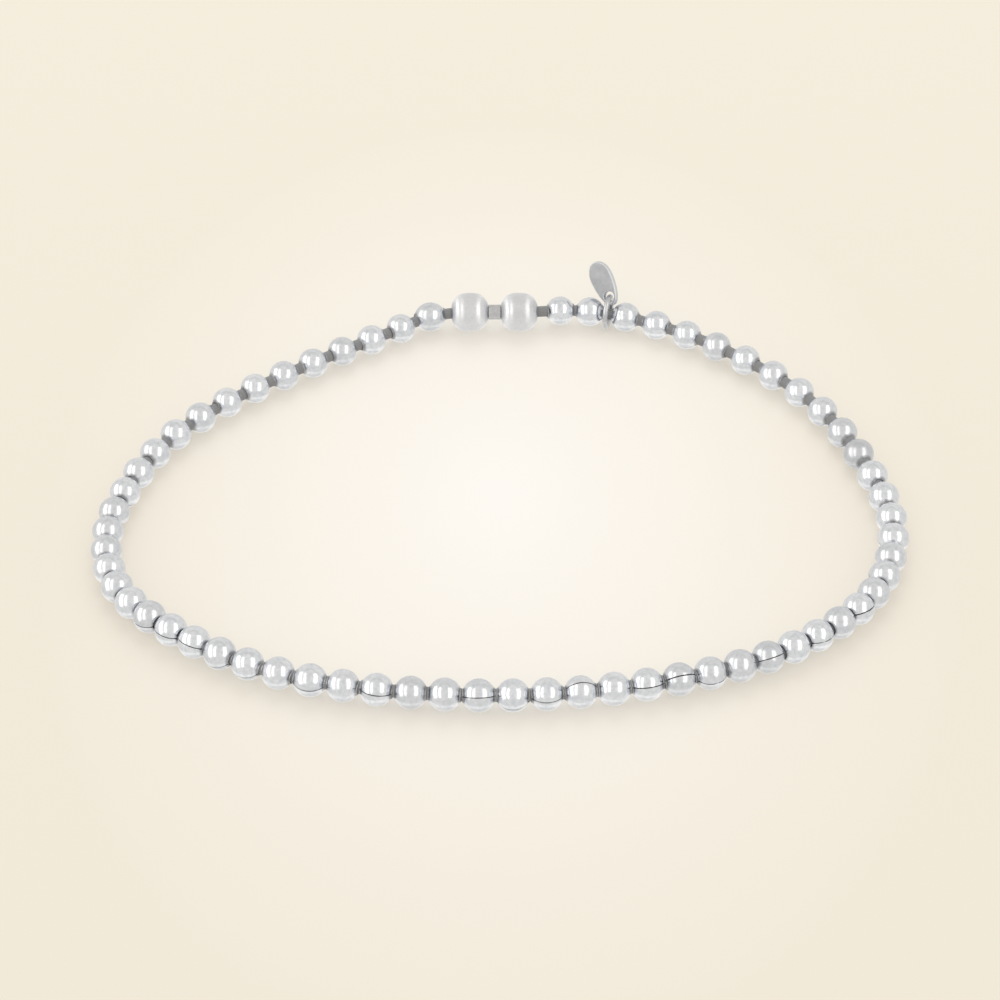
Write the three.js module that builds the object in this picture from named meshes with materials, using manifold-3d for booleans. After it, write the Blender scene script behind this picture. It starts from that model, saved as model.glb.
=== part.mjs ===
// Beaded stretch bracelet, lying flat: a loop of small round silver beads on an elastic cord,
// two larger beads with a crimp tube between them at the back, and a bare oval tag on a ring.
// Millimetres, +Z up. The origin is in the middle of the wrist opening, on the surface it lies on;
// -Y is the wearer's front of the loop and +Y the back, where the cord's ends meet.
import * as THREE from 'three';
import { mergeVertices } from 'three/addons/utils/BufferGeometryUtils.js';
import Module from 'manifold-3d';

// Small beads
const BEAD_DIAMETER = 2.6;
const BEAD_HOLE = 1.1;
const BEAD_COUNT = 63;
const LEFT_HALF_COUNT = 31;
const BEAD_SIDES = 10;
const BEAD_BANDS = 6;

// Large beads
const LARGE_DIAMETER = 3.5;
const LARGE_LENGTH = 3.32;
const LARGE_HOLE = 1.3;
const LARGE_FULLNESS = 2.15;
const LARGE_SIDES = 16;
const LARGE_BANDS = 8;
const LARGE_SPACING = 4.47;
const LARGE_TO_FIRST_BEAD = 3.65;
const LARGE_TO_LAST_BEAD = 3.8;

// Elastic cord and the crimp tube that holds its two ends
const CORD_DIAMETER = 0.8;
const CORD_SIDES = 5;
const CORD_STEPS = 42;
const CORD_END_GAP = 0.3;
const CRIMP_DIAMETER = 1.36;
const CRIMP_BORE = 1.04;
const CRIMP_LENGTH = 0.95;
const CRIMP_SIDES = 12;

// Ring and tag
const RING_DIAMETER = 3.2;
const RING_WIRE = 0.46;
const RING_WIRE_SIDES = 6;
const RING_SIDES = 24;
const RING_AFTER_BEAD = 61;
const TAG_LENGTH = 4.3;
const TAG_WIDTH = 2.15;
const TAG_THICKNESS = 0.55;
const TAG_HOLE = 1.0;
const TAG_HOLE_TO_END = 0.82;
const TAG_WIDEST = 2.0;

// How the tag stands, in degrees: leaning back, turned in its plane, and swung about its length
const TAG_LEAN = 38;
const TAG_TURN = 33;
const TAG_SWING = 20;

// Middle line of the cord, anticlockwise seen from above, starting at the crimp tube
const CORD_ROUTE = [
  { x: -0.5, y: 25.3, z: 1.77 },
  { x: -3.6, y: 25.3, z: 1.73 },
  { x: -6.6, y: 24.9, z: 1.46 },
  { x: -9.3, y: 23.1, z: 1.34 },
  { x: -16.7, y: 17.9, z: 1.3 },
  { x: -23.8, y: 12.0, z: 1.3 },
  { x: -28.3, y: 6.6, z: 1.3 },
  { x: -31.2, y: -0.3, z: 1.3 },
  { x: -32.2, y: -6.6, z: 1.3 },
  { x: -30.7, y: -13.1, z: 1.3 },
  { x: -25.9, y: -18.4, z: 1.3 },
  { x: -16.4, y: -23.8, z: 1.3 },
  { x: -2.0, y: -26.1, z: 1.3 },
  { x: 12.0, y: -24.7, z: 1.3 },
  { x: 22.4, y: -20.8, z: 1.3 },
  { x: 29.7, y: -14.2, z: 1.3 },
  { x: 32.3, y: -6.2, z: 1.3 },
  { x: 31.2, y: 2.2, z: 1.3 },
  { x: 27.0, y: 12.4, z: 1.3 },
  { x: 19.3, y: 20.6, z: 1.3 },
  { x: 11.5, y: 25.1, z: 1.34 },
  { x: 7.0, y: 26.0, z: 1.46 },
  { x: 2.8, y: 25.4, z: 1.73 },
];

// Distance from a bead's centre to the next one's. The beads bunch at the sides and front
// and stand apart at the back; rows between two beads are blended.
const BEAD_SPACING = [
  { bead: 1, pitch: 3.14 },
  { bead: 10, pitch: 3.1 },
  { bead: 15, pitch: 2.47 },
  { bead: 18, pitch: 2.39 },
  { bead: 21, pitch: 2.45 },
  { bead: 24, pitch: 2.66 },
  { bead: 36, pitch: 2.59 },
  { bead: 40, pitch: 2.43 },
  { bead: 44, pitch: 2.39 },
  { bead: 47, pitch: 2.54 },
  { bead: 50, pitch: 3.02 },
  { bead: 53, pitch: 3.39 },
  { bead: 56, pitch: 3.29 },
  { bead: 60, pitch: 3.04 },
  { bead: 61, pitch: 3.34 },
  { bead: 62, pitch: 2.74 },
];

// A cubic curve follows a quarter of an ellipse with handles this long
const QUARTER_HANDLE = 0.5523;

const UP = new THREE.Vector3(0, 0, 1);
const SILVER = { color: 0xc9c9cb, roughness: 0.22, metalness: 1.0 };
const SATIN_SILVER = { color: 0xb4b4b6, roughness: 0.38, metalness: 1.0 };

const wasm = await Module();
wasm.setup();

// Solids to and from the boolean library
function toSolid(geometry) {
  const bare = geometry.clone();
  bare.deleteAttribute('normal');
  bare.deleteAttribute('uv');
  const merged = mergeVertices(bare);
  const corners = merged.index.array;
  const triVerts = [];
  for (let i = 0; i < corners.length; i += 3) {
    const [a, b, c] = corners.slice(i, i + 3);
    if (a !== b && b !== c && c !== a) triVerts.push(a, b, c);
  }
  return new wasm.Manifold(new wasm.Mesh({
    numProp: 3,
    vertProperties: Float32Array.from(merged.attributes.position.array),
    triVerts: Uint32Array.from(triVerts),
  }));
}

function toGeometry(solid) {
  const mesh = solid.getMesh();
  const geometry = new THREE.BufferGeometry();
  geometry.setAttribute('position', new THREE.BufferAttribute(mesh.vertProperties, 3));
  geometry.setIndex(new THREE.BufferAttribute(mesh.triVerts, 1));
  geometry.computeVertexNormals();
  return geometry;
}

function namedMesh(name, geometry, finish) {
  const mesh = new THREE.Mesh(geometry, new THREE.MeshStandardMaterial(finish));
  mesh.name = name;
  return mesh;
}

// The cord's route, read by distance along it
const route = new THREE.CatmullRomCurve3(
  CORD_ROUTE.map(({ x, y, z }) => new THREE.Vector3(x, y, z)),
  true,
  'centripetal',
);
route.arcLengthDivisions = 2000;
const routeLength = route.getLength();

class CordStretch extends THREE.Curve {
  constructor(start, end) {
    super();
    this.start = start;
    this.end = end;
  }

  getPoint(t) {
    const distance = THREE.MathUtils.lerp(this.start, this.end, t);
    return route.getPointAt(THREE.MathUtils.euclideanModulo(distance, routeLength) / routeLength);
  }
}

function pitchAfter(bead) {
  const next = BEAD_SPACING.findIndex((row) => row.bead > bead);
  if (next < 0) return BEAD_SPACING.at(-1).pitch;
  const from = BEAD_SPACING[next - 1];
  const to = BEAD_SPACING[next];
  return THREE.MathUtils.mapLinear(bead, from.bead, to.bead, from.pitch, to.pitch);
}

// Distances of the bead centres along the route; the small beads' pitches fill it exactly
function beadDistances() {
  const pitches = Array.from({ length: BEAD_COUNT - 1 }, (_, i) => pitchAfter(i + 1));
  const room = routeLength - LARGE_SPACING - LARGE_TO_FIRST_BEAD - LARGE_TO_LAST_BEAD;
  const stretch = room / pitches.reduce((sum, pitch) => sum + pitch, 0);
  const distances = [LARGE_SPACING / 2 + LARGE_TO_FIRST_BEAD];
  for (const pitch of pitches) {
    distances.push(distances.at(-1) + pitch * stretch);
  }
  return distances;
}

// Axes at a distance along the route: Y follows the cord, Z is as near upright as it can be
function axesAt(distance) {
  const u = THREE.MathUtils.euclideanModulo(distance, routeLength) / routeLength;
  const along = route.getTangentAt(u);
  const side = new THREE.Vector3().crossVectors(along, UP).normalize();
  const upright = new THREE.Vector3().crossVectors(side, along);
  return { place: route.getPointAt(u), along, side, upright };
}

function threadedPlace(distance) {
  const { place, along, side, upright } = axesAt(distance);
  return new THREE.Matrix4().makeBasis(side, along, upright).setPosition(place);
}

// Half outline of a round bead, from the rim of one hole to the other
function roundOutline(diameter, hole, bands) {
  const radius = diameter / 2;
  const rim = Math.acos(hole / diameter);
  const outline = [];
  for (let i = 0; i <= bands; i += 1) {
    const latitude = THREE.MathUtils.lerp(-rim, rim, i / bands);
    outline.push(new THREE.Vector2(radius * Math.cos(latitude), radius * Math.sin(latitude)));
  }
  return outline;
}

// Half outline of a bead a little fuller than round: a superellipse cut off at its holes
function fullOutline(diameter, length, hole, bands, fullness) {
  const radius = diameter / 2;
  const power = 2 / fullness;
  const rim = Math.acos((hole / diameter) ** (1 / power));
  const reach = length / 2 / Math.sin(rim) ** power;
  const outline = [];
  for (let i = 0; i <= bands; i += 1) {
    const angle = THREE.MathUtils.lerp(-rim, rim, i / bands);
    const height = Math.sign(angle) * reach * Math.abs(Math.sin(angle)) ** power;
    outline.push(new THREE.Vector2(radius * Math.cos(angle) ** power, height));
  }
  return outline;
}

function smallBead(distance) {
  const outline = roundOutline(BEAD_DIAMETER, BEAD_HOLE, BEAD_BANDS);
  const first = new THREE.Vector2(0, outline[0].y);
  const last = new THREE.Vector2(0, outline.at(-1).y);
  const geometry = new THREE.LatheGeometry([first, ...outline, last], BEAD_SIDES);
  return geometry.applyMatrix4(threadedPlace(distance));
}

function largeBead(distance) {
  const outline = fullOutline(LARGE_DIAMETER, LARGE_LENGTH, LARGE_HOLE, LARGE_BANDS, LARGE_FULLNESS);
  const geometry = new THREE.LatheGeometry([...outline, outline[0].clone()], LARGE_SIDES);
  return geometry.applyMatrix4(threadedPlace(distance));
}

function roundSection(diameter, sides) {
  const corners = [];
  for (let i = 0; i < sides; i += 1) {
    const angle = (2 * Math.PI * i) / sides;
    corners.push(new THREE.Vector2(Math.cos(angle), Math.sin(angle)).multiplyScalar(diameter / 2));
  }
  return new THREE.Shape(corners);
}

function cordTube(start, end) {
  return new THREE.ExtrudeGeometry(roundSection(CORD_DIAMETER, CORD_SIDES), {
    steps: CORD_STEPS,
    bevelEnabled: false,
    extrudePath: new CordStretch(start, end),
  });
}

// One half of the string: its beads joined to the cord that runs through them
function beadString(distances, cordStart, cordEnd) {
  let string = toSolid(cordTube(cordStart, cordEnd));
  for (const distance of distances) {
    string = string.add(toSolid(smallBead(distance)));
  }
  return toGeometry(string);
}

function crimpTube() {
  const half = CRIMP_LENGTH / 2;
  const profile = [
    new THREE.Vector2(CRIMP_BORE / 2, -half),
    new THREE.Vector2(CRIMP_DIAMETER / 2, -half),
    new THREE.Vector2(CRIMP_DIAMETER / 2, half),
    new THREE.Vector2(CRIMP_BORE / 2, half),
    new THREE.Vector2(CRIMP_BORE / 2, -half),
  ];
  return new THREE.LatheGeometry(profile, CRIMP_SIDES).applyMatrix4(threadedPlace(0));
}

// The ring hangs round the cord between two beads and stands on the surface
const ringRadius = (RING_DIAMETER - RING_WIRE) / 2;

function ringPlace(distance) {
  const { place, side: out } = axesAt(distance);
  place.z = RING_DIAMETER / 2;
  const right = new THREE.Vector3().crossVectors(out, UP);
  return { place, right, out };
}

function tagRing(distance) {
  const { place, right, out } = ringPlace(distance);
  const geometry = new THREE.TorusGeometry(ringRadius, RING_WIRE / 2, RING_WIRE_SIDES, RING_SIDES);
  return geometry.applyMatrix4(new THREE.Matrix4().makeBasis(out, UP, right).setPosition(place));
}

// Egg-shaped outline round the hole at its narrow end
function tagOutline() {
  const low = -TAG_HOLE_TO_END;
  const high = TAG_LENGTH - TAG_HOLE_TO_END;
  const half = TAG_WIDTH / 2;
  const lowHandle = TAG_WIDEST - QUARTER_HANDLE * (TAG_WIDEST - low);
  const highHandle = TAG_WIDEST + QUARTER_HANDLE * (high - TAG_WIDEST);
  const shape = new THREE.Shape();
  shape.moveTo(0, low);
  shape.bezierCurveTo(QUARTER_HANDLE * half, low, half, lowHandle, half, TAG_WIDEST);
  shape.bezierCurveTo(half, highHandle, QUARTER_HANDLE * half, high, 0, high);
  shape.bezierCurveTo(-QUARTER_HANDLE * half, high, -half, highHandle, -half, TAG_WIDEST);
  shape.bezierCurveTo(-half, lowHandle, -QUARTER_HANDLE * half, low, 0, low);
  const hole = new THREE.Path();
  hole.absarc(0, 0, TAG_HOLE / 2, 0, 2 * Math.PI, true);
  shape.holes.push(hole);
  return shape;
}

// The tag is threaded by its hole on the ring, faces the front of the loop and leans back
function tagPlate(distance) {
  const { place, right, out } = ringPlace(distance);
  const lean = THREE.MathUtils.degToRad(TAG_LEAN);
  const radial = UP.clone().multiplyScalar(Math.cos(lean)).addScaledVector(out, Math.sin(lean));
  const facing = new THREE.Vector3().crossVectors(right, radial);
  const geometry = new THREE.ExtrudeGeometry(tagOutline(), {
    depth: TAG_THICKNESS,
    bevelEnabled: false,
    curveSegments: 7,
  });
  geometry.translate(0, 0, -TAG_THICKNESS / 2);
  geometry.rotateY(THREE.MathUtils.degToRad(-TAG_SWING));
  geometry.rotateZ(THREE.MathUtils.degToRad(TAG_TURN));
  place.addScaledVector(radial, ringRadius);
  return geometry.applyMatrix4(new THREE.Matrix4().makeBasis(right, radial, facing).setPosition(place));
}

const distances = beadDistances();
const leftHalf = distances.slice(0, LEFT_HALF_COUNT);
const rightHalf = distances.slice(LEFT_HALF_COUNT);
const ringDistance = (distances[RING_AFTER_BEAD - 1] + distances[RING_AFTER_BEAD]) / 2;

const bracelet = new THREE.Group();
bracelet.add(
  namedMesh('bead_string_left', beadString(leftHalf, CORD_END_GAP / 2, leftHalf.at(-1)), SILVER),
  namedMesh('bead_string_right', beadString(rightHalf, rightHalf[0], routeLength - CORD_END_GAP / 2), SILVER),
  namedMesh('large_bead_left', largeBead(LARGE_SPACING / 2), SILVER),
  namedMesh('large_bead_right', largeBead(-LARGE_SPACING / 2), SILVER),
  namedMesh('crimp_tube', crimpTube(), SATIN_SILVER),
  namedMesh('tag_ring', tagRing(ringDistance), SILVER),
  namedMesh('tag_plate', tagPlate(ringDistance), SATIN_SILVER),
);

export default bracelet;
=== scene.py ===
# Beaded stretch bracelet of seamed silver beads, lying on a pale table in soft studio light.
# Metres in Blender; the dictionaries below are in millimetres and degrees unless a note says otherwise.
import math
import random
from bisect import bisect_right

import bmesh
import bpy
from mathutils import Matrix, Vector, noise


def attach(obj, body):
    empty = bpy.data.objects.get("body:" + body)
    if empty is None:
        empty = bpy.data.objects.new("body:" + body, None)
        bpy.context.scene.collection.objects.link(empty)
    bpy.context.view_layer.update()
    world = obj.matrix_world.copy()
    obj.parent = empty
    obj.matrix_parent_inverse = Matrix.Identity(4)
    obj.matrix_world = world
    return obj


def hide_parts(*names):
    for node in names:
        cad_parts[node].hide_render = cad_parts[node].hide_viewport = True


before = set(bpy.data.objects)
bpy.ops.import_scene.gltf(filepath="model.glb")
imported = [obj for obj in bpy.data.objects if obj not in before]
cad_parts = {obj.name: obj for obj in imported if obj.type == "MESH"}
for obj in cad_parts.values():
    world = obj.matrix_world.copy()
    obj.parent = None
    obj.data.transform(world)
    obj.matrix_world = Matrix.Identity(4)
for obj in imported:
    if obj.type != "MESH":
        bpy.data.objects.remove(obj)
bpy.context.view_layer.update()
scene = bpy.context.scene
mm = 0.001
up = Vector((0, 0, 1))

# Camera, at the height and angle that the bracelet was photographed from
cameraSetup = {
    "elevation": 38,
    "distance": 231.5,
    "lens": 100,
    "sensor": 36,
    "target": (0, -1.85, 1.3),
    "nearest": 10,  # what lies closer than this, or past the next, isn't drawn
    "farthest": 20000,
}


def towardsCamera():
    elevation = math.radians(cameraSetup["elevation"])
    return Vector((0, -math.cos(elevation), math.sin(elevation)))


# Middle line of the cord, anticlockwise seen from above, starting at the crimp tube
cordRoute = [
    (-0.5, 25.3, 1.77),
    (-3.6, 25.3, 1.73),
    (-6.6, 24.9, 1.46),
    (-9.3, 23.1, 1.34),
    (-16.7, 17.9, 1.3),
    (-23.8, 12.0, 1.3),
    (-28.3, 6.6, 1.3),
    (-31.2, -0.3, 1.3),
    (-32.2, -6.6, 1.3),
    (-30.7, -13.1, 1.3),
    (-25.9, -18.4, 1.3),
    (-16.4, -23.8, 1.3),
    (-2.0, -26.1, 1.3),
    (12.0, -24.7, 1.3),
    (22.4, -20.8, 1.3),
    (29.7, -14.2, 1.3),
    (32.3, -6.2, 1.3),
    (31.2, 2.2, 1.3),
    (27.0, 12.4, 1.3),
    (19.3, 20.6, 1.3),
    (11.5, 25.1, 1.34),
    (7.0, 26.0, 1.46),
    (2.8, 25.4, 1.73),
]
routeStepsEach = 200
directionSpan = 0.02  # the cord's direction is read over this much on each side

# Distance from a small bead's centre to the next one's: they bunch at the sides and the front
beadSpacing = [
    {"bead": 1, "pitch": 3.14},
    {"bead": 10, "pitch": 3.1},
    {"bead": 15, "pitch": 2.47},
    {"bead": 18, "pitch": 2.39},
    {"bead": 21, "pitch": 2.45},
    {"bead": 24, "pitch": 2.66},
    {"bead": 36, "pitch": 2.59},
    {"bead": 40, "pitch": 2.43},
    {"bead": 44, "pitch": 2.39},
    {"bead": 47, "pitch": 2.54},
    {"bead": 50, "pitch": 3.02},
    {"bead": 53, "pitch": 3.39},
    {"bead": 56, "pitch": 3.29},
    {"bead": 60, "pitch": 3.04},
    {"bead": 61, "pitch": 3.34},
    {"bead": 62, "pitch": 2.74},
]

stringing = {
    "smallBeads": 63,
    "leftHalf": 31,
    "largeSpacing": 4.47,
    "largeToFirst": 3.65,
    "largeToLast": 3.8,
    "ringAfterBead": 61,
}


# Centripetal Catmull-Rom curve through all the points and back to the first
def closedSpline(points, stepsEach):
    count = len(points)
    curve = []
    for i in range(count):
        p0, p1, p2, p3 = (points[(i + k - 1) % count] for k in range(4))
        d0, d1, d2 = ((b - a).length ** 0.5 for a, b in ((p0, p1), (p1, p2), (p2, p3)))
        start = ((p1 - p0) / d0 - (p2 - p0) / (d0 + d1) + (p2 - p1) / d1) * d1
        end = ((p2 - p1) / d1 - (p3 - p1) / (d1 + d2) + (p3 - p2) / d2) * d1
        for j in range(stepsEach):
            t = j / stepsEach
            curve.append(
                p1 + start * t + (3 * (p2 - p1) - 2 * start - end) * t**2
                + (2 * (p1 - p2) + start + end) * t**3
            )
    return curve + [curve[0]]


routePoints = closedSpline([Vector(p) * mm for p in cordRoute], routeStepsEach)
routeDistances = [0.0]
for before, after in zip(routePoints, routePoints[1:]):
    routeDistances.append(routeDistances[-1] + (after - before).length)
routeLength = routeDistances[-1]
print(f"cord route: {routeLength / mm:.1f} mm")


def routePoint(distance):
    distance %= routeLength
    i = min(bisect_right(routeDistances, distance), len(routePoints) - 1)
    share = (distance - routeDistances[i - 1]) / (routeDistances[i] - routeDistances[i - 1])
    return routePoints[i - 1].lerp(routePoints[i], share)


def basis(x, y, z, centre):
    return Matrix.Translation(centre) @ Matrix((x, y, z)).transposed().to_4x4()


# Axes on the cord: X points out of the loop, Y along the cord, Z as near upright as it can be
def threadedPlace(distance):
    span = directionSpan * mm
    along = (routePoint(distance + span) - routePoint(distance - span)).normalized()
    out = along.cross(up).normalized()
    upright = out.cross(along)
    return basis(out, along, upright, routePoint(distance))


def pitchAfter(bead):
    for row, following in zip(beadSpacing, beadSpacing[1:]):
        if row["bead"] <= bead < following["bead"]:
            share = (bead - row["bead"]) / (following["bead"] - row["bead"])
            return (row["pitch"] + (following["pitch"] - row["pitch"]) * share) * mm
    return beadSpacing[-1]["pitch"] * mm


# Distances of the small beads' centres along the route, which they fill exactly
def beadDistances():
    pitches = [pitchAfter(bead) for bead in range(1, stringing["smallBeads"])]
    first = (stringing["largeSpacing"] / 2 + stringing["largeToFirst"]) * mm
    last = (stringing["largeSpacing"] / 2 + stringing["largeToLast"]) * mm
    stretch = (routeLength - first - last) / sum(pitches)
    distances = [first]
    for pitch in pitches:
        distances.append(distances[-1] + pitch * stretch)
    return distances


distances = beadDistances()


# Colours and shader nodes


def linearColour(hexColour):
    channels = [int(hexColour[i:i + 2], 16) / 255 for i in (1, 3, 5)]
    linear = [c / 12.92 if c <= 0.04045 else ((c + 0.055) / 1.055) ** 2.4 for c in channels]
    return (*linear, 1.0)


def addNode(tree, kind, settings=None, values=None, links=None):
    node = tree.nodes.new(kind)
    for name, value in (settings or {}).items():
        setattr(node, name, value)
    for name, value in (values or {}).items():
        node.inputs[name].default_value = value
    for name, socket in (links or {}).items():
        tree.links.new(socket, node.inputs[name])
    return node


def newMaterial(name):
    material = bpy.data.materials.new(name)
    material.use_nodes = True
    tree = material.node_tree
    return material, tree, tree.nodes["Principled BSDF"]


# Texture scale on object coordinates for features this many millimetres apart
def patternScale(size):
    return 1 / (size * mm)


# Blends two colours, each a hex value or a socket, by a share from 0 to 1
def blendColours(tree, share, first, second, blend="MIX"):
    mix = addNode(tree, "ShaderNodeMix", {"data_type": "RGBA", "blend_type": blend})
    for index, value in ((0, share), (6, first), (7, second)):  # the node's share and its two colours
        if isinstance(value, str):
            mix.inputs[index].default_value = linearColour(value)
        elif isinstance(value, float):
            mix.inputs[index].default_value = value
        else:
            tree.links.new(value, mix.inputs[index])
    return mix.outputs[2]


def remap(tree, value, fromLow, fromHigh, toLow=0.0, toHigh=1.0, smooth=False):
    node = addNode(
        tree, "ShaderNodeMapRange",
        {"interpolation_type": "SMOOTHSTEP" if smooth else "LINEAR"},
        {"From Min": fromLow, "From Max": fromHigh, "To Min": toLow, "To Max": toHigh},
        {"Value": value},
    )
    return node.outputs["Result"]


def combine(tree, operation, first, second=0):
    node = addNode(tree, "ShaderNodeMath", {"operation": operation})
    for index, value in ((0, first), (1, second)):
        if isinstance(value, (int, float)):
            node.inputs[index].default_value = value
        else:
            tree.links.new(value, node.inputs[index])
    return node.outputs["Value"]


# Shapes
weld = 0.001  # vertices this close become one
sharpEdge = 50  # degrees; edges that turn more than this are rounded


# Solid ring round Y, from its section as distances from Y and places along it
def spinSolid(bm, section, steps):
    verts = [bm.verts.new((away, along, 0)) for away, along in section]
    edges = [bm.edges.new(pair) for pair in zip(verts, verts[1:] + verts[:1])]
    bmesh.ops.spin(
        bm, geom=verts + edges, cent=(0, 0, 0), axis=(0, 1, 0), angle=2 * math.pi,
        steps=steps, use_merge=True,
    )
    weldOutwards(bm)


def weldOutwards(bm):
    bmesh.ops.remove_doubles(bm, verts=bm.verts, dist=weld * mm)
    bmesh.ops.recalc_face_normals(bm, faces=bm.faces)


def roundEdges(bm, offset, segments):
    limit = math.radians(sharpEdge)
    sharp = [edge for edge in bm.edges if edge.is_manifold and edge.calc_face_angle(0) > limit]
    bmesh.ops.bevel(
        bm, geom=sharp, offset=offset * mm, offset_type="OFFSET", affect="EDGES",
        segments=segments, profile=0.5, material=-1, clamp_overlap=True,
    )


# Smooth shading, with a crisp line wherever two faces meet at this angle or more
def smoothShade(bm, crispFrom):
    for face in bm.faces:
        face.smooth = True
    for edge in bm.edges:
        edge.smooth = edge.is_manifold and edge.calc_face_angle(0) < math.radians(crispFrom)


def finishPiece(name, bm, material, slot, *nodes):
    mesh = bpy.data.meshes.new(name)
    bm.to_mesh(mesh)
    bm.free()
    mesh.materials.append(material)
    piece = bpy.data.objects.new(name, mesh)
    scene.collection.objects.link(piece)
    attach(piece, "root")
    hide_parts(*nodes)
    print(f"{name}: {sum(len(p.vertices) - 2 for p in mesh.polygons)} triangles")


# Small beads: sheet silver pressed round, with a seam from hole to hole where its edges meet
smallBead = {
    "diameter": 2.6,
    "neck": 1.12,  # where the round part stops and a short lip stands out
    "lip": 0.1,
    "lipGap": 0.06,  # at least, between two beads' lips
    "leastLip": 0.02,
    "lipTaper": 0.012,
    "wall": 0.1,
    "stepsRound": 36,
    "bands": 18,
    "rimRound": 0.03,
    "rimSegments": 2,
    "crispFrom": 16,
    "seamWidth": (0.035, 0.075),
    "seamFlare": 0.05,  # more on each side where the seam runs into a hole
    "flarePower": 5,  # a higher power keeps the flare nearer to the hole
    "seamWander": 0.03,
    "wanderSize": 0.9,
    "hiddenSeam": (105, 255),  # degrees round from the side that faces the camera
    "dentDepth": 0.007,
    "dentSize": 1.1,
    "noiseReach": 50,  # each bead starts at another place in the noise, this far out at most
    "sizeSpread": 0.012,
    "toneSpread": 0.3,
    "tilt": 3.5,
    "seed": 7000,  # to which each bead adds its number
}

# Where a seam shows from the front, in bead radii above (+) or below (-) its bead's middle
seamHeights = {
    20: -0.75, 21: -0.5, 22: -0.28, 23: -0.9, 24: -0.86, 26: -0.62,
    28: -0.32, 31: -0.1, 32: -0.84, 33: -0.46, 34: 0.6, 36: -0.15,
    37: 0.25, 38: -0.65, 40: -0.05, 42: -0.48, 44: -0.4,
}

# Beads that differ from the rest: drawn out along the cord, or duller (tone from -1 to 1)
oddBeads = {
    1: {"stretch": 1.1},
    29: {"tone": -0.3},
    52: {"tone": -0.6},
    53: {"tone": -0.3},
}


# How far the lips reach along the cord before and after a bead: they nearly touch the next bead's
def lipReaches(bead):
    farthest = (math.sqrt(smallBead["diameter"]**2 - smallBead["neck"]**2) / 2 + smallBead["lip"]) * mm
    reaches = []
    for other in (bead - 1, bead + 1):
        reach = farthest
        if 1 <= other <= stringing["smallBeads"]:
            spacing = abs(distances[other - 1] - distances[bead - 1])
            reach = min(farthest, (spacing - smallBead["lipGap"] * mm) / 2)
        reaches.append(reach)
    return reaches


# One seamed bead round the origin, its holes on Y and its seam facing +X
def pressedBead(chance, stretch, tone, reaches):
    radius = smallBead["diameter"] / 2 * mm
    rim = math.acos(smallBead["neck"] / smallBead["diameter"])
    seamWidth = chance.uniform(*smallBead["seamWidth"]) * mm
    opening = seamWidth / radius
    noiseReach = smallBead["noiseReach"]
    noiseStart = Vector([chance.uniform(-noiseReach, noiseReach) for _ in range(3)])

    bm = bmesh.new()
    wrap = bm.loops.layers.uv.new("beadWrap")
    toneLayer = bm.verts.layers.float.new("beadTone")
    profile = []
    for i in range(smallBead["bands"] + 1):
        latitude = rim * (2 * i / smallBead["bands"] - 1)
        profile.append((radius * math.cos(latitude), radius * math.sin(latitude)))
    neck, neckEnd = profile[-1]
    taper = smallBead["lipTaper"] * mm
    if reaches[0] - neckEnd > smallBead["leastLip"] * mm:
        profile = [(neck - taper, -reaches[0]), (neck - taper, -neckEnd - taper)] + profile
    if reaches[1] - neckEnd > smallBead["leastLip"] * mm:
        profile += [(neck - taper, neckEnd + taper), (neck - taper, reaches[1])]
    outline = [bm.verts.new((away, along, 0)) for away, along in profile]
    outlineEdges = [bm.edges.new(pair) for pair in zip(outline, outline[1:])]
    bmesh.ops.rotate(bm, verts=outline, cent=(0, 0, 0), matrix=Matrix.Rotation(opening / 2, 3, "Y"))
    bmesh.ops.spin(
        bm, geom=outline + outlineEdges, cent=(0, 0, 0), axis=(0, 1, 0),
        angle=2 * math.pi - opening, steps=smallBead["stepsRound"], use_merge=False,
    )

    # The seam's two edges wander together, and part where they run into the holes
    for vert in bm.verts:
        angle = math.atan2(-vert.co.z, vert.co.x)
        if not vert.is_boundary or abs(angle) > opening:
            continue
        share = min(1, abs(math.asin(vert.co.y / radius)) / rim)
        away = math.hypot(vert.co.x, vert.co.z)
        wanderPlace = noiseStart + Vector((0, vert.co.y / (smallBead["wanderSize"] * mm), 0))
        wander = noise.noise(wanderPlace) * smallBead["seamWander"] * mm
        flare = smallBead["seamFlare"] * mm * share**smallBead["flarePower"] * math.copysign(1, angle)
        turn = Matrix.Rotation((wander + flare) / away, 3, "Y")
        vert.co = turn @ vert.co

    # Shallow dents from handling
    for vert in bm.verts:
        push = noise.noise(noiseStart + vert.co / (smallBead["dentSize"] * mm))
        vert.co += vert.co.normalized() * push * smallBead["dentDepth"] * mm

    bmesh.ops.recalc_face_normals(bm, faces=bm.faces)
    firstFace = bm.faces[:][0]
    if firstFace.calc_center_median().dot(firstFace.normal) < 0:
        bmesh.ops.reverse_faces(bm, faces=bm.faces)
    for face in bm.faces:
        for loop in face.loops:
            co = loop.vert.co
            around = math.atan2(-co.z, co.x) / (2 * math.pi) % 1
            loop[wrap].uv = (around, 0.5 + 0.5 * math.asin(max(-1, min(1, co.y / radius))) / rim)
    bmesh.ops.solidify(bm, geom=bm.faces[:], thickness=smallBead["wall"] * mm)
    roundEdges(bm, smallBead["rimRound"], smallBead["rimSegments"])
    bmesh.ops.remove_doubles(bm, verts=bm.verts, dist=weld * mm)
    smoothShade(bm, smallBead["crispFrom"])
    for vert in bm.verts:
        vert[toneLayer] = tone
    size = 1 + chance.uniform(-1, 1) * smallBead["sizeSpread"]
    bmesh.ops.scale(bm, verts=bm.verts, vec=(size, size * stretch, size))
    return bm


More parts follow.
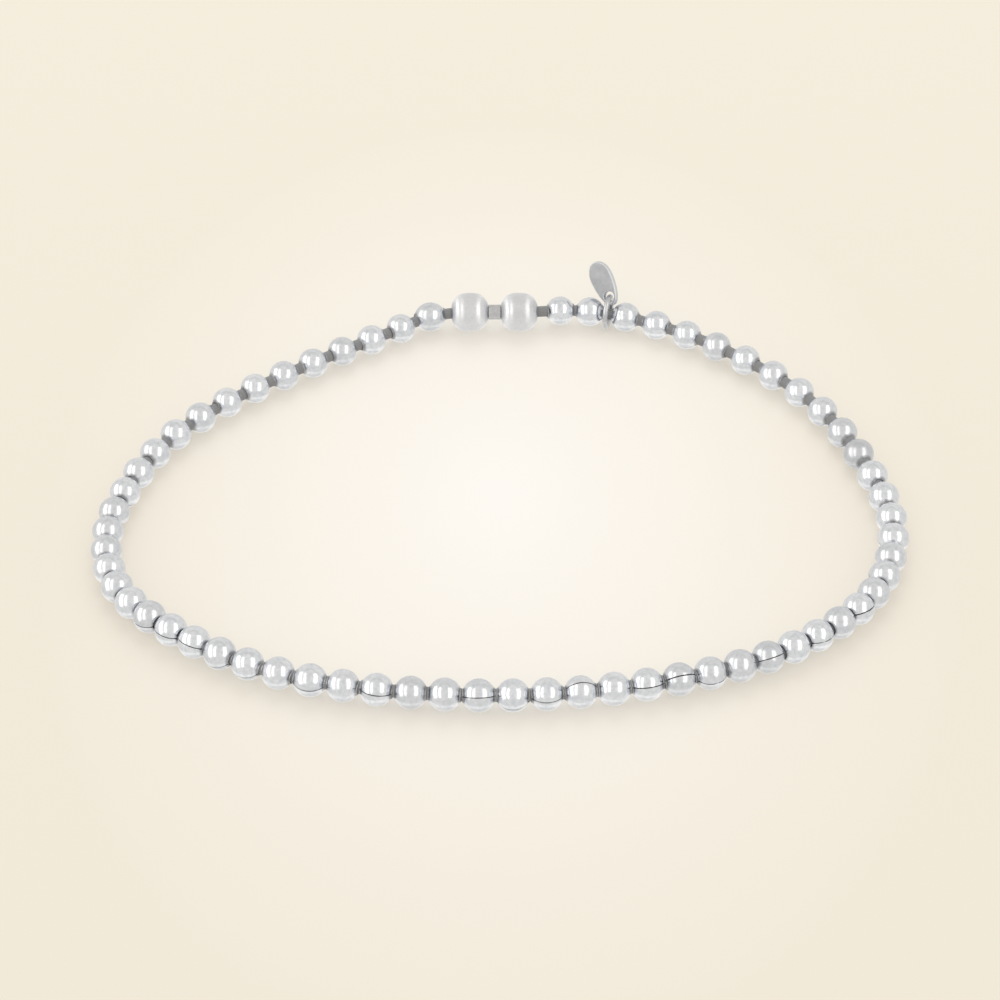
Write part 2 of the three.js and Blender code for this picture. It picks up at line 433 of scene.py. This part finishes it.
# Angle about the cord that shows the seam where the photograph does, or hides it
def seamTurn(bead, place, chance):
    local = place.to_3x3().transposed() @ towardsCamera()
    facing = math.atan2(local.z, local.x)
    if bead in seamHeights:
        return facing + math.asin(seamHeights[bead])
    return facing + math.radians(chance.uniform(*smallBead["hiddenSeam"]))


def beadString(name, first, last, material, node):
    string = bmesh.new()
    for bead in range(first, last + 1):
        chance = random.Random(smallBead["seed"] + bead)
        quirk = oddBeads.get(bead, {})
        tone = quirk.get("tone", chance.uniform(-smallBead["toneSpread"], smallBead["toneSpread"]))
        bm = pressedBead(chance, quirk.get("stretch", 1), tone, lipReaches(bead))
        place = threadedPlace(distances[bead - 1])
        lean = [math.radians(chance.uniform(-1, 1) * smallBead["tilt"]) for _ in range(2)]
        turn = Matrix.Rotation(-seamTurn(bead, place, chance), 4, "Y")
        tilt = Matrix.Rotation(lean[0], 4, "X") @ Matrix.Rotation(lean[1], 4, "Z")
        bmesh.ops.transform(bm, matrix=place @ tilt @ turn, verts=bm.verts)
        single = bpy.data.meshes.new("single")
        bm.to_mesh(single)
        bm.free()
        string.from_mesh(single)
        bpy.data.meshes.remove(single)
    finishPiece(name, string, material, "small_beads", node)


# Silver, and how wear, the painted shade round the holes and the painted highlight on edges change its
# colour and its roughness
silverWear = {
    "wearDetail": 3.0,
    "wearRoughness": 0.6,
    "scuffDetail": 2.0,
    "scuffShare": 0.5,  # of the colour's mottling; the rest follows the broader wear
    "handledFrom": 0.38,
    "handledTo": 0.64,
    "dullFrom": 0.3,
    "dullTo": 0.75,
    "patchFrom": 0.3,
    "patchTo": 0.6,
    "leastPatch": 0.7,
    "darkenDull": 0.55,
    "roughenDull": 0.12,
    "roughenRecess": 0.15,
    "polishRubbed": 0.15,
}


# Sterling silver: white metal, a little greyer and duller where hands have worn it. On the small beads,
# grey is painted round the holes and along the seam as painted shade, partly tarnish at the holes
def silverMaterial(name, look):
    material, tree, shader = newMaterial(name)
    place = addNode(tree, "ShaderNodeTexCoord").outputs["Object"]
    wear = addNode(
        tree, "ShaderNodeTexNoise", {},
        {
            "Scale": patternScale(look["wearSize"]),
            "Detail": silverWear["wearDetail"],
            "Roughness": silverWear["wearRoughness"],
        },
        {"Vector": place},
    ).outputs["Fac"]
    scuffs = addNode(
        tree, "ShaderNodeTexNoise", {},
        {"Scale": patternScale(look["scuffSize"]), "Detail": silverWear["scuffDetail"]},
        {"Vector": place},
    ).outputs["Fac"]
    mottle = combine(
        tree, "ADD", combine(tree, "MULTIPLY", wear, 1 - silverWear["scuffShare"]),
        combine(tree, "MULTIPLY", scuffs, silverWear["scuffShare"]),
    )
    handled = remap(tree, mottle, silverWear["handledFrom"], silverWear["handledTo"])
    colour = blendColours(tree, handled, look["clean"], look["handled"])
    roughness = remap(
        tree, wear, silverWear["dullFrom"], silverWear["dullTo"], look["polish"], look["dullest"],
    )
    patches = remap(
        tree, wear, silverWear["patchFrom"], silverWear["patchTo"], silverWear["leastPatch"], 1.0,
    )
    if "brushed" in look:
        shader.inputs["Anisotropic"].default_value = look["brushed"]
        tangent = addNode(tree, "ShaderNodeTangent", {"direction_type": "UV_MAP", "uv_map": "beadWrap"})
        tree.links.new(tangent.outputs["Tangent"], shader.inputs["Tangent"])
    # Painted shade: grey round the holes, where the beads shade each other, and along the seam, partly
    # tarnish; dull beads are darkened towards the same grey
    if "shadeAndDullGrey" in look:
        wrapNode = addNode(tree, "ShaderNodeUVMap", {"uv_map": "beadWrap"})
        parts = addNode(tree, "ShaderNodeSeparateXYZ", {}, {}, {"Vector": wrapNode.outputs["UV"]})
        fromMiddle = combine(tree, "ABSOLUTE", combine(tree, "SUBTRACT", parts.outputs["Y"], 0.5))
        atHole = remap(tree, fromMiddle, look["holeShade"][0], look["holeShade"][1], smooth=True)
        fromFarSide = combine(tree, "ABSOLUTE", combine(tree, "SUBTRACT", parts.outputs["X"], 0.5))
        fromSeam = combine(tree, "SUBTRACT", 0.5, fromFarSide)
        atSeam = remap(tree, fromSeam, look["seamShade"], 0.0, smooth=True)
        grey = combine(tree, "MAXIMUM", atHole, atSeam)
        patchyShade = combine(tree, "MULTIPLY", grey, patches)
        colour = blendColours(tree, patchyShade, colour, look["shadeAndDullGrey"])
        tone = addNode(tree, "ShaderNodeAttribute", {"attribute_name": "beadTone"}).outputs["Fac"]
        dull = remap(tree, tone, 0.0, -1.0)
        darkened = combine(tree, "MULTIPLY", dull, silverWear["darkenDull"])
        colour = blendColours(tree, darkened, colour, look["shadeAndDullGrey"])
        rougher = ((dull, silverWear["roughenDull"]), (patchyShade, silverWear["roughenRecess"]))
        for share, more in rougher:
            roughness = combine(tree, "ADD", roughness, combine(tree, "MULTIPLY", share, more))
    # Edges painted brighter and smoother: a painted highlight, partly rubbed wear
    if "highlitAndRubbed" in look:
        atEdge = addNode(tree, "ShaderNodeAttribute", {"attribute_name": "highlitRubbedEdge"}).outputs["Fac"]
        edgeHighlight = combine(tree, "MULTIPLY", atEdge, patches)
        colour = blendColours(tree, edgeHighlight, colour, look["highlitAndRubbed"])
        smoother = combine(tree, "MULTIPLY", edgeHighlight, silverWear["polishRubbed"])
        roughness = combine(tree, "SUBTRACT", roughness, smoother)
    tree.links.new(colour, shader.inputs["Base Color"])
    tree.links.new(roughness, shader.inputs["Roughness"])
    shader.inputs["Metallic"].default_value = 1.0
    bump = addNode(
        tree, "ShaderNodeBump", {},
        {"Strength": look["scuffStrength"], "Distance": look["scuffDepth"] * mm},
        {"Height": scuffs},
    )
    tree.links.new(bump.outputs["Normal"], shader.inputs["Normal"])
    return material


# Pressed and tumble-polished: small crisp lights, and painted shade in grey round the holes and along
# the seam, partly tarnish at the holes
polishedBeadSilver = silverMaterial("polishedBeadSilver", {
    "clean": "#e8ebf1",
    "handled": "#d5d9e0",
    # grey of the painted shade round the holes and seam, partly tarnish, also used to darken dull beads
    "shadeAndDullGrey": "#97989b",
    "polish": 0.17,
    "dullest": 0.26,
    "wearSize": 1.1,
    "scuffSize": 0.3,
    "scuffStrength": 0.12,
    "scuffDepth": 0.006,
    "holeShade": (0.41, 0.5),
    "seamShade": 0.012,
})

# Satin-polished along the cord: soft bright bands that run round the bead
polishedLargeSilver = silverMaterial("polishedLargeSilver", {
    "clean": "#eaecf0",
    "handled": "#e0e2e6",
    "polish": 0.38,
    "dullest": 0.44,
    "brushed": 0.9,
    "wearSize": 1.6,
    "scuffSize": 0.25,
    "scuffStrength": 0.2,
    "scuffDepth": 0.008,
})

# Drawn wire: an even, softer shine than the beads'
drawnWireSilver = silverMaterial("drawnWireSilver", {
    "clean": "#cfd1d5",
    "handled": "#bcbec2",
    "polish": 0.28,
    "dullest": 0.38,
    "wearSize": 0.7,
    "scuffSize": 0.2,
    "scuffStrength": 0.1,
    "scuffDepth": 0.006,
})

# Cut tube, pressed with pliers: dull, with fine tool marks
crimpedTubeSilver = silverMaterial("crimpedTubeSilver", {
    "clean": "#c8c9cc",
    "handled": "#b8b9bc",
    "polish": 0.3,
    "dullest": 0.42,
    "wearSize": 0.5,
    "scuffSize": 0.12,
    "scuffStrength": 0.3,
    "scuffDepth": 0.01,
})

# Satin-finished plate: flat grey faces, with edges painted brighter: a painted highlight, partly rubbed
# wear
satinPlateSilver = silverMaterial("satinPlateSilver", {
    "clean": "#b2b4b8",
    "handled": "#a7a9ae",
    "highlitAndRubbed": "#d6d9de",
    "polish": 0.52,
    "dullest": 0.62,
    "wearSize": 0.9,
    "scuffSize": 0.12,
    "scuffStrength": 0.3,
    "scuffDepth": 0.01,
})

leftHalf = stringing["leftHalf"]
beadString("small_beads_left", 1, leftHalf, polishedBeadSilver, "bead_string_left")
beadString(
    "small_beads_right", leftHalf + 1, stringing["smallBeads"], polishedBeadSilver, "bead_string_right",
)

# Large beads: plain hollow beads, a little fuller than round
largeBead = {
    "diameter": 3.5,
    "length": 3.32,
    "hole": 1.3,
    "fullness": 2.5,  # power of the superellipse; 2 is round
    "bands": 40,
    "stepsRound": 64,
    "rimRound": 0.07,
    "rimSegments": 3,
    "crispFrom": 20,
}


# Distance from the cord and place along it, from one hole's rim to the other
def fullOutline():
    radius = largeBead["diameter"] / 2 * mm
    power = 2 / largeBead["fullness"]
    rim = math.acos((largeBead["hole"] / largeBead["diameter"]) ** (1 / power))
    reach = largeBead["length"] / 2 * mm / math.sin(rim) ** power
    outline = []
    for i in range(largeBead["bands"] + 1):
        angle = rim * (2 * i / largeBead["bands"] - 1)
        height = math.copysign(reach * abs(math.sin(angle)) ** power, angle)
        outline.append((radius * math.cos(angle) ** power, height))
    return outline


def plainBead(name, distance, node):
    bm = bmesh.new()
    wrap = bm.loops.layers.uv.new("beadWrap")
    spinSolid(bm, fullOutline(), largeBead["stepsRound"])
    roundEdges(bm, largeBead["rimRound"], largeBead["rimSegments"])
    smoothShade(bm, largeBead["crispFrom"])
    length = largeBead["length"] * mm
    for face in bm.faces:
        middle = face.calc_center_median()
        faceTurn = math.atan2(-middle.z, middle.x)
        for loop in face.loops:
            co = loop.vert.co
            turn = math.remainder(math.atan2(-co.z, co.x) - faceTurn, 2 * math.pi)
            loop[wrap].uv = ((faceTurn + turn) / (2 * math.pi), co.y / length)
    bmesh.ops.transform(bm, matrix=threadedPlace(distance), verts=bm.verts)
    finishPiece(name, bm, polishedLargeSilver, "large_beads", node)


plainBead("plain_bead_left", stringing["largeSpacing"] / 2 * mm, "large_bead_left")
plainBead("plain_bead_right", -stringing["largeSpacing"] / 2 * mm, "large_bead_right")

# Crimp tube: a short tube squeezed on the cord's two ends
crimp = {
    "diameter": 1.36,
    "bore": 1.04,
    "length": 1.12,
    "stepsRound": 40,
    "bands": 8,
    "squeeze": 0.07,
    "squeezedUp": 0.3,  # how much of the squeeze comes out above and below
    "rimRound": 0.05,
    "rimSegments": 2,
    "crispFrom": 20,
}


def crimpTube():
    half = crimp["length"] / 2 * mm
    outer = crimp["diameter"] / 2 * mm
    inner = crimp["bore"] / 2 * mm
    heights = [half * (2 * i / crimp["bands"] - 1) for i in range(crimp["bands"] + 1)]
    section = [(outer, height) for height in heights]
    section += [(inner, height) for height in reversed(heights)]
    bm = bmesh.new()
    spinSolid(bm, section, crimp["stepsRound"])
    roundEdges(bm, crimp["rimRound"], crimp["rimSegments"])
    for vert in bm.verts:  # the pliers press its middle, front and back
        press = crimp["squeeze"] * math.cos(math.pi / 2 * vert.co.y / half) ** 2
        vert.co.x *= 1 - press
        vert.co.z *= 1 + press * crimp["squeezedUp"]
    smoothShade(bm, crimp["crispFrom"])
    bmesh.ops.transform(bm, matrix=threadedPlace(0), verts=bm.verts)
    finishPiece("crimp_tube_dressed", bm, crimpedTubeSilver, "crimp", "crimp_tube")


crimpTube()

# Elastic cord, through all the beads to its two ends in the crimp tube
elastic = {
    "diameter": 0.99,
    "sides": 16,
    "step": 0.75,
    "endGap": 0.3,
    "grey": "#808184",
    "paler": "#949598",
    "ribSize": 0.16,
    "ribDepth": 0.012,
    "ribShare": 0.5,  # of the fluff's height
    "fluffSize": 0.2,
    "fluffDetail": 3.0,
    "palerFrom": 0.2,
    "palerTo": 1.0,
    "roughness": 0.55,
    "reliefStrength": 0.5,
    "crispFrom": 40,
}


# Covered elastic: fine ribs along a grey cord, dull beside the silver
def elasticMaterial():
    material, tree, shader = newMaterial("coveredElastic")
    wrapNode = addNode(tree, "ShaderNodeUVMap", {"uv_map": "cordWrap"})
    parts = addNode(tree, "ShaderNodeSeparateXYZ", {}, {}, {"Vector": wrapNode.outputs["UV"]})
    ribs = round(math.pi * elastic["diameter"] / elastic["ribSize"])
    rib = combine(tree, "SINE", combine(tree, "MULTIPLY", parts.outputs["X"], 2 * math.pi * ribs))
    place = addNode(tree, "ShaderNodeTexCoord").outputs["Object"]
    fluff = addNode(
        tree, "ShaderNodeTexNoise", {},
        {"Scale": patternScale(elastic["fluffSize"]), "Detail": elastic["fluffDetail"]},
        {"Vector": place},
    ).outputs["Fac"]
    height = combine(tree, "ADD", combine(tree, "MULTIPLY", rib, elastic["ribShare"]), fluff)
    pale = remap(tree, height, elastic["palerFrom"], elastic["palerTo"])
    colour = blendColours(tree, pale, elastic["grey"], elastic["paler"])
    tree.links.new(colour, shader.inputs["Base Color"])
    shader.inputs["Roughness"].default_value = elastic["roughness"]
    bump = addNode(
        tree, "ShaderNodeBump", {},
        {"Strength": elastic["reliefStrength"], "Distance": elastic["ribDepth"] * mm},
        {"Height": height},
    )
    tree.links.new(bump.outputs["Normal"], shader.inputs["Normal"])
    return material


def elasticCord():
    start = elastic["endGap"] / 2 * mm
    length = routeLength - 2 * start
    steps = round(length / (elastic["step"] * mm))
    bm = bmesh.new()
    wrap = bm.loops.layers.uv.new("cordWrap")
    alongLayer = bm.verts.layers.float.new("cordAlong")
    roundLayer = bm.verts.layers.float.new("cordRound")
    radius = elastic["diameter"] / 2 * mm
    section = bmesh.ops.create_circle(bm, segments=elastic["sides"], radius=radius)["verts"]
    for i, vert in enumerate(section):
        vert[roundLayer] = i / elastic["sides"]
    stand = Matrix.Rotation(math.radians(-90), 4, "X")  # the circle's own axis is Z, the cord's is Y
    place = threadedPlace(start) @ stand
    bmesh.ops.transform(bm, matrix=place, verts=section)
    edges = bm.edges[:]
    firstEnd = edges
    for i in range(1, steps + 1):
        distance = start + length * i / steps
        grown = bmesh.ops.extrude_edge_only(bm, edges=edges)["geom"]
        section = [item for item in grown if isinstance(item, bmesh.types.BMVert)]
        edges = [item for item in grown if isinstance(item, bmesh.types.BMEdge)]
        following = threadedPlace(distance) @ stand
        bmesh.ops.transform(bm, matrix=following @ place.inverted(), verts=section)
        for vert in section:
            vert[alongLayer] = (distance - start) / mm
        place = following
    bmesh.ops.holes_fill(bm, edges=firstEnd + edges, sides=elastic["sides"])
    bmesh.ops.recalc_face_normals(bm, faces=bm.faces)
    for face in bm.faces:
        rounds = [loop.vert[roundLayer] for loop in face.loops]
        crossing = max(rounds) - min(rounds) > 0.5 and len(rounds) == 4
        for loop in face.loops:
            share = loop.vert[roundLayer]
            loop[wrap].uv = (share + 1 if crossing and share < 0.5 else share, loop.vert[alongLayer])
    smoothShade(bm, elastic["crispFrom"])
    finishPiece(
        "elastic_cord", bm, elasticMaterial(), "elastic_cord", "bead_string_left", "bead_string_right",
    )


elasticCord()

# Ring and tag
ring = {
    "diameter": 3.2,
    "wire": 0.46,
    "wireSides": 20,
    "stepsRound": 96,
    "jointGap": 0.05,
    "jointAt": 250,  # degrees from the outside of the loop, over the top
    "jointRound": 0.04,
    "jointSegments": 2,
    "crispFrom": 30,
}

tag = {
    "length": 4.3,
    "width": 2.15,
    "thickness": 0.55,
    "hole": 1.0,
    "holeToEnd": 0.82,
    "widest": 2.0,  # above the hole's centre
    "edgeRound": 0.12,
    "edgeSteps": 3,
    "flatMargin": 0.006,  # a vertex lower than this below a flat face is on an edge painted brighter: painted highlight, partly rubbed wear
    "lean": 38,  # away from the opening, at the ring
    "turn": 33,  # in its own plane
    "swing": 20,  # about its length
    "curveSteps": 24,
    "crispFrom": 28,
}
quarterHandle = 0.5523  # a cubic curve follows a quarter of an ellipse with handles this long
ringDistance = (distances[stringing["ringAfterBead"] - 1] + distances[stringing["ringAfterBead"]]) / 2
ringRadius = (ring["diameter"] - ring["wire"]) / 2 * mm


def ringAxes():
    place = threadedPlace(ringDistance)
    out = place.col[0].xyz
    centre = Vector((*place.translation.xy, ring["diameter"] / 2 * mm))
    return centre, out, out.cross(up)


def tagRing():
    centre, out, right = ringAxes()
    gap = ring["jointGap"] * mm / ringRadius
    bm = bmesh.new()
    wireRadius = ring["wire"] / 2 * mm
    section = bmesh.ops.create_circle(bm, segments=ring["wireSides"], radius=wireRadius)["verts"]
    stand = Matrix.Rotation(math.radians(90), 3, "X")
    bmesh.ops.rotate(bm, verts=section, cent=(0, 0, 0), matrix=stand)
    bmesh.ops.translate(bm, verts=section, vec=(ringRadius, 0, 0))
    firstEdges = bm.edges[:]
    turned = bmesh.ops.spin(
        bm, geom=section + firstEdges, cent=(0, 0, 0), axis=(0, 0, 1), angle=2 * math.pi - gap,
        steps=ring["stepsRound"], use_merge=False,
    )["geom_last"]
    lastEdges = [item for item in turned if isinstance(item, bmesh.types.BMEdge)]
    bmesh.ops.holes_fill(bm, edges=firstEdges + lastEdges, sides=ring["wireSides"])
    bmesh.ops.recalc_face_normals(bm, faces=bm.faces)
    roundEdges(bm, ring["jointRound"], ring["jointSegments"])
    smoothShade(bm, ring["crispFrom"])
    turn = Matrix.Rotation(math.radians(ring["jointAt"]), 4, "Z")
    bmesh.ops.transform(bm, matrix=basis(out, up, right, centre) @ turn, verts=bm.verts)
    finishPiece("tag_ring_dressed", bm, drawnWireSilver, "ring", "tag_ring")


# Adds a closed spline; each knot is its point, then its handles before and after
def closedBezier(curve, knots):
    spline = curve.splines.new("BEZIER")
    spline.bezier_points.add(len(knots) - 1)
    spline.use_cyclic_u = True
    for point, (co, before, after) in zip(spline.bezier_points, knots):
        point.co = (*co, 0)
        point.handle_left = (*before, 0)
        point.handle_right = (*after, 0)


# Knots of an egg-shaped outline, from its low end up its right side
def ovalKnots(half, low, widest, high):
    side = quarterHandle * half
    lowHandle = quarterHandle * (widest - low)
    highHandle = quarterHandle * (high - widest)
    return [
        ((0, low), (-side, low), (side, low)),
        ((half, widest), (half, widest - lowHandle), (half, widest + highHandle)),
        ((0, high), (side, high), (-side, high)),
        ((-half, widest), (-half, widest + highHandle), (-half, widest - lowHandle)),
    ]


def tagPlate():
    edge = tag["edgeRound"] * mm
    curve = bpy.data.curves.new("tagOutline", "CURVE")
    curve.dimensions = "2D"
    curve.fill_mode = "BOTH"
    curve.resolution_u = tag["curveSteps"]
    curve.extrude = tag["thickness"] / 2 * mm - edge
    curve.bevel_depth = edge
    curve.bevel_resolution = tag["edgeSteps"]
    curve.offset = -edge
    half = tag["width"] / 2 * mm
    low = -tag["holeToEnd"] * mm
    high = (tag["length"] - tag["holeToEnd"]) * mm
    closedBezier(curve, ovalKnots(half, low, tag["widest"] * mm, high))
    hole = tag["hole"] / 2 * mm
    closedBezier(curve, ovalKnots(hole, -hole, 0, hole))
    drawn = bpy.data.objects.new("tagOutline", curve)
    scene.collection.objects.link(drawn)
    flat = bpy.data.meshes.new_from_object(drawn.evaluated_get(bpy.context.evaluated_depsgraph_get()))
    bpy.data.objects.remove(drawn)
    bpy.data.curves.remove(curve)
    bm = bmesh.new()
    bm.from_mesh(flat)
    bpy.data.meshes.remove(flat)
    weldOutwards(bm)
    # Marks the edges that get the painted highlight
    highlitEdgeLayer = bm.verts.layers.float.new("highlitRubbedEdge")
    flatHeight = (tag["thickness"] / 2 - tag["flatMargin"]) * mm
    for vert in bm.verts:
        vert[highlitEdgeLayer] = 1.0 if abs(vert.co.z) < flatHeight else 0.0
    smoothShade(bm, tag["crispFrom"])
    centre, out, right = ringAxes()
    lean = math.radians(tag["lean"])
    radial = up * math.cos(lean) + out * math.sin(lean)
    place = basis(right, radial, right.cross(radial), centre + radial * ringRadius)
    turn = Matrix.Rotation(math.radians(tag["turn"]), 4, "Z")
    swing = Matrix.Rotation(math.radians(-tag["swing"]), 4, "Y")
    bmesh.ops.transform(bm, matrix=place @ turn @ swing, verts=bm.verts)
    finishPiece("tag_plate_dressed", bm, satinPlateSilver, "tag", "tag_plate")


tagRing()
tagPlate()

# Table, light and camera; the table is a sheet of pale matt plastic that glows and shows no streaks,
# with a painted pool of light in its middle
studio = {
    "tableSize": 6.0,  # metres
    "tableDrop": 0.02,
    "tablePaintedPool": "#c8c7c6",
    "tableEdge": "#bfbbb2",
    "tableRoughness": 0.9,
    "tableGlow": 0.7,  # a light table, lit from below as well
    "glowTint": "#fff9f1",  # warmer than the lamps, so the shadows are warm
    "glow": 38,  # from the painted pool of light in the middle to the edge's colour
    "glowDepth": 0.62,  # shortens distances to front and back, so the painted pool of light looks round
    "walls": "#f2efe9",
}

# Soft boxes facing the bracelet, in metres; azimuth 0 is the camera's side and minus is its left.
# These draw the streaks on the silver.
softPanels = [
    {
        "name": "panelLeft", "azimuth": -82, "elevation": 21, "roll": -35,
        "size": (0.78, 0.27), "radiance": 1.35,
    },
    {
        "name": "panelMiddle", "azimuth": -49, "elevation": 43, "roll": 35,
        "size": (0.15, 0.78), "radiance": 1.35,
    },
    {
        "name": "panelRight", "azimuth": 54, "elevation": 39, "roll": -38,
        "size": (0.25, 0.72), "radiance": 1.35,
    },
]

# This one gives the table its soft shadow
backPanel = {
    "name": "panelBack", "azimuth": 180, "elevation": 50, "roll": 0,
    "size": (0.4, 0.4), "radiance": 1.8, "tint": "#f0f6fa",
}
panelDistance = 0.6

# Bands of the surroundings, in heights from -1, straight down, to 1, straight up: a paler sheet low
# down all round, and a darker rail high behind the bracelet
whiteSheet = {"low": -0.95, "high": -0.62, "edge": 0.12, "gain": 0.27}
backRail = {"low": 0.72, "high": 0.9, "edge": 0.07, "gain": -0.15, "depth": 0.2}


def studioTable():
    material, tree, shader = newMaterial("matPaleTable")
    place = addNode(tree, "ShaderNodeTexCoord").outputs["Object"]
    rounded = addNode(
        tree, "ShaderNodeVectorMath", {"operation": "MULTIPLY"},
        {1: (1, studio["glowDepth"], 1)}, {0: place},
    ).outputs["Vector"]
    distance = addNode(
        tree, "ShaderNodeVectorMath", {"operation": "LENGTH"}, {}, {0: rounded},
    ).outputs["Value"]
    # Painted pool of light: the table's colour is paler in the middle and fades to the edge's
    share = remap(tree, distance, 0.0, studio["glow"] * mm)
    colour = blendColours(tree, share, studio["tablePaintedPool"], studio["tableEdge"])
    glow = blendColours(tree, 1.0, colour, studio["glowTint"], blend="MULTIPLY")
    tree.links.new(colour, shader.inputs["Base Color"])
    tree.links.new(glow, shader.inputs["Emission Color"])
    shader.inputs["Emission Strength"].default_value = studio["tableGlow"]
    shader.inputs["Roughness"].default_value = studio["tableRoughness"]
    shader.inputs["Specular IOR Level"].default_value = 0.0
    bm = bmesh.new()
    bmesh.ops.create_grid(bm, x_segments=1, y_segments=1, size=studio["tableSize"] / 2)
    bmesh.ops.translate(bm, verts=bm.verts, vec=(0, 0, -studio["tableDrop"] * mm))
    mesh = bpy.data.meshes.new("table")
    bm.to_mesh(mesh)
    bm.free()
    mesh.materials.append(material)
    table = bpy.data.objects.new("table", mesh)
    scene.collection.objects.link(table)
    table.visible_glossy = False  # the silver mirrors the surroundings instead


def softPanel(panel):
    azimuth = math.radians(panel["azimuth"])
    elevation = math.radians(panel["elevation"])
    level = math.cos(elevation)
    direction = Vector((math.sin(azimuth) * level, -math.cos(azimuth) * level, math.sin(elevation)))
    side = up.cross(direction).normalized()
    place = basis(side, direction.cross(side), direction, direction * panelDistance)
    width, height = panel["size"]
    light = bpy.data.lights.new(panel["name"], "AREA")
    light.shape = "RECTANGLE"
    light.size = width
    light.size_y = height
    light.color = linearColour(panel.get("tint", studio["walls"]))[:3]
    light.energy = panel["radiance"] * math.pi * width * height
    lamp = bpy.data.objects.new(panel["name"], light)
    lamp.matrix_world = place @ Matrix.Rotation(math.radians(panel["roll"]), 4, "Z")
    lamp.visible_camera = False
    scene.collection.objects.link(lamp)
    return lamp


# 1 inside a band of the surroundings and 0 outside it, with soft edges
def heightBand(tree, height, band):
    rise = remap(tree, height, band["low"], band["low"] + band["edge"], smooth=True)
    fall = remap(tree, height, band["high"], band["high"] - band["edge"], smooth=True)
    return combine(tree, "MULTIPLY", rise, fall)


def studioWalls():
    world = bpy.data.worlds.new("studioWalls")
    world.use_nodes = True
    tree = world.node_tree
    direction = addNode(tree, "ShaderNodeTexCoord").outputs["Generated"]
    parts = addNode(tree, "ShaderNodeSeparateXYZ", {}, {}, {"Vector": direction}).outputs
    sheet = combine(tree, "MULTIPLY", heightBand(tree, parts["Z"], whiteSheet), whiteSheet["gain"])
    rail = combine(tree, "MULTIPLY", heightBand(tree, parts["Z"], backRail), backRail["gain"])
    behind = remap(tree, parts["Y"], 0.0, backRail["depth"], smooth=True)
    change = combine(tree, "ADD", sheet, combine(tree, "MULTIPLY", rail, behind))
    background = tree.nodes["Background"]
    background.inputs["Color"].default_value = linearColour(studio["walls"])
    tree.links.new(combine(tree, "ADD", change, 1), background.inputs["Strength"])
    return world


def studioLight():
    scene.world = studioWalls()
    for panel in softPanels:
        softPanel(panel).visible_diffuse = False
    softPanel(backPanel).visible_glossy = False
    scene.view_settings.view_transform = "Standard"
    scene.view_settings.look = "None"


def studioCamera():
    back = towardsCamera()
    data = bpy.data.cameras.new("camera")
    data.lens = cameraSetup["lens"]
    data.sensor_width = cameraSetup["sensor"]
    data.clip_start = cameraSetup["nearest"] * mm
    data.clip_end = cameraSetup["farthest"] * mm
    camera = bpy.data.objects.new("camera", data)
    camera.location = (Vector(cameraSetup["target"]) + back * cameraSetup["distance"]) * mm
    camera.rotation_mode = "QUATERNION"
    camera.rotation_quaternion = (-back).to_track_quat("-Z", "Y")
    scene.collection.objects.link(camera)
    scene.camera = camera


studioTable()
studioLight()
studioCamera()
print(f"studio: table, {len(softPanels) + 1} lamps and camera")
